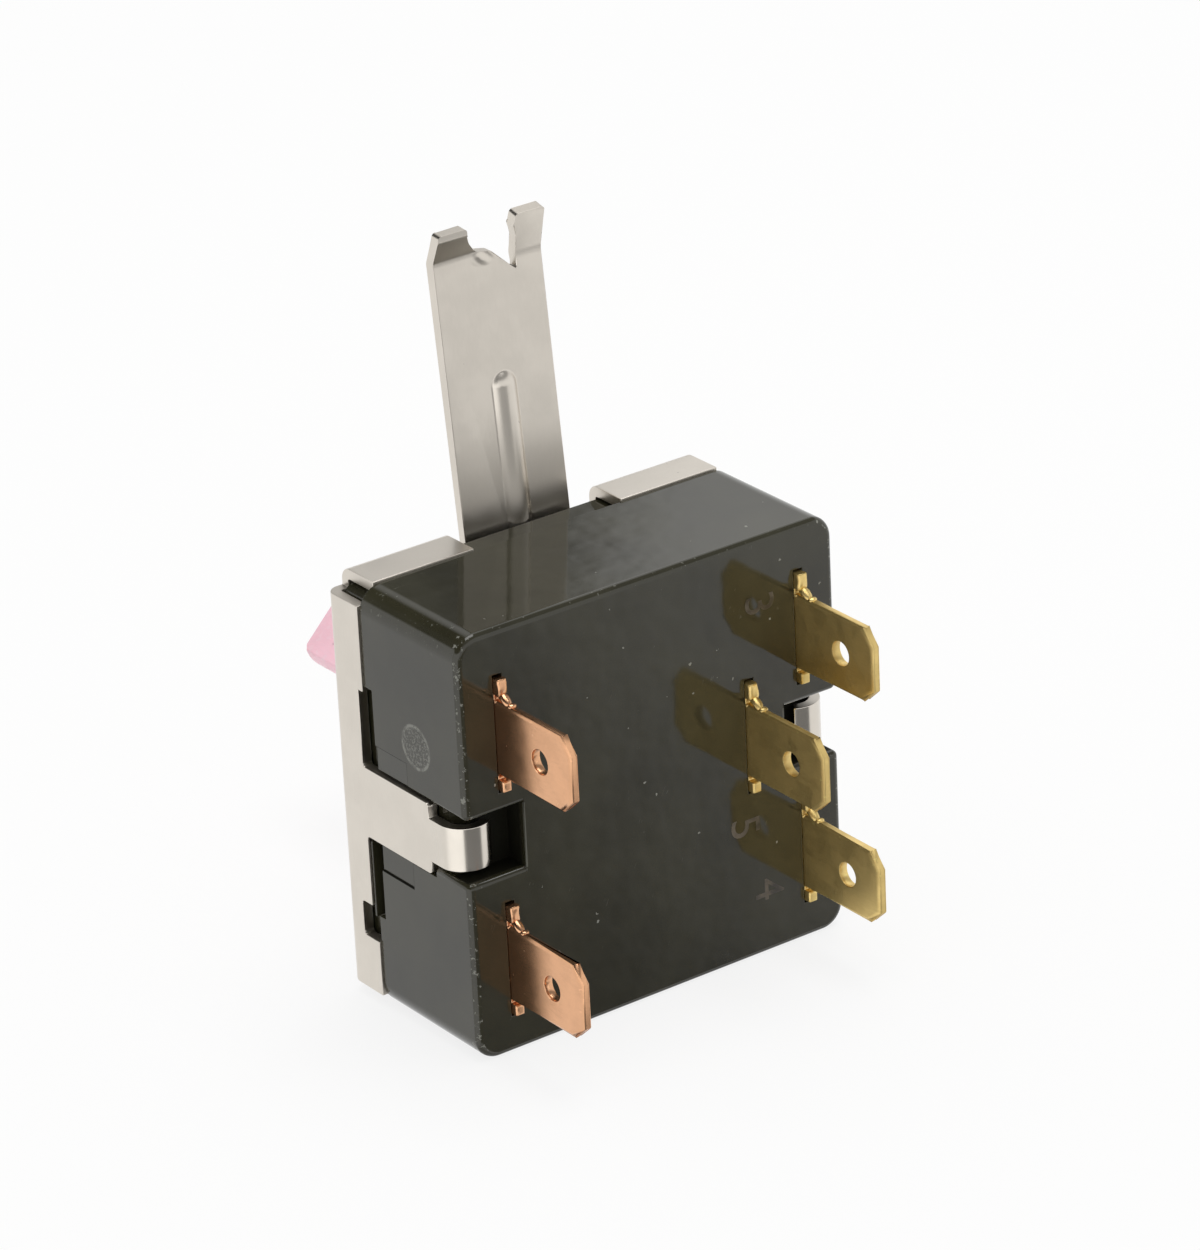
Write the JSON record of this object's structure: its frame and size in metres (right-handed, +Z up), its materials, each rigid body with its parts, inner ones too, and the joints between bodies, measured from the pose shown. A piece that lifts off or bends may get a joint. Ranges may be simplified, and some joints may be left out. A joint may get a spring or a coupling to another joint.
{
  "type": "rotary switch",
  "caption": "Rotary selector switch with a moulded housing, a snap-in steel bracket with a long tongue, a D-shaft and push-on tabs.",
  "frame": {"origin": "where the shaft's axis crosses the outer face of the front plate", "axes": "+Z up along the tongue, -Y out of the front along the shaft, +Y along the terminals, +X to the right seen from the front"},
  "size_m": [0.036, 0.0539, 0.0594],
  "materials": {
    "housing_black": "gloss",
    "plated_steel": "satin",
    "copper": "satin",
    "brass": "satin",
    "contact_silver": "satin",
    "pink_plastic": "satin",
    "spring_steel": "satin",
    "ball_steel": "polished"
  },
  "bodies": {
    "body": {"housing": "housing_black", "bracket": "plated_steel", "terminal_1": "copper", "terminal_2": "copper", "terminal_3": "brass", "terminal_4": "brass", "terminal_5": "brass", "fixed_contact_1": "contact_silver", "fixed_contact_2": "contact_silver", "fixed_contact_3": "contact_silver", "fixed_contact_4": "contact_silver"},
    "rotor": {"rotor": "pink_plastic", "contactor": "copper", "moving_contact_a": "contact_silver", "moving_contact_b": "contact_silver", "pressure_spring": "spring_steel", "detent_spring_a": "spring_steel", "detent_spring_b": "spring_steel"},
    "ball_a": {"detent_ball_a": "ball_steel"},
    "ball_b": {"detent_ball_b": "ball_steel"}
  },
  "joints": [
    {"name": "shaft_turn", "type": "hinge", "parent": "body", "child": "rotor", "pos_m": [0, 0, 0], "axis": [0, 1, 0], "range_deg": [0, 135]},
    {"name": "ball_a_slide", "type": "slide", "parent": "rotor", "child": "ball_a", "axis": [0, 0, 1], "range_m": [0, 0.00035], "stiffness_N_per_m": 15, "springref_m": 0.0006, "deforming": ["detent_spring_a"]},
    {"name": "ball_b_slide", "type": "slide", "parent": "rotor", "child": "ball_b", "axis": [0, 0, -1], "range_m": [0, 0.00035], "stiffness_N_per_m": 15, "springref_m": 0.0006, "deforming": ["detent_spring_b"]}
  ]
}
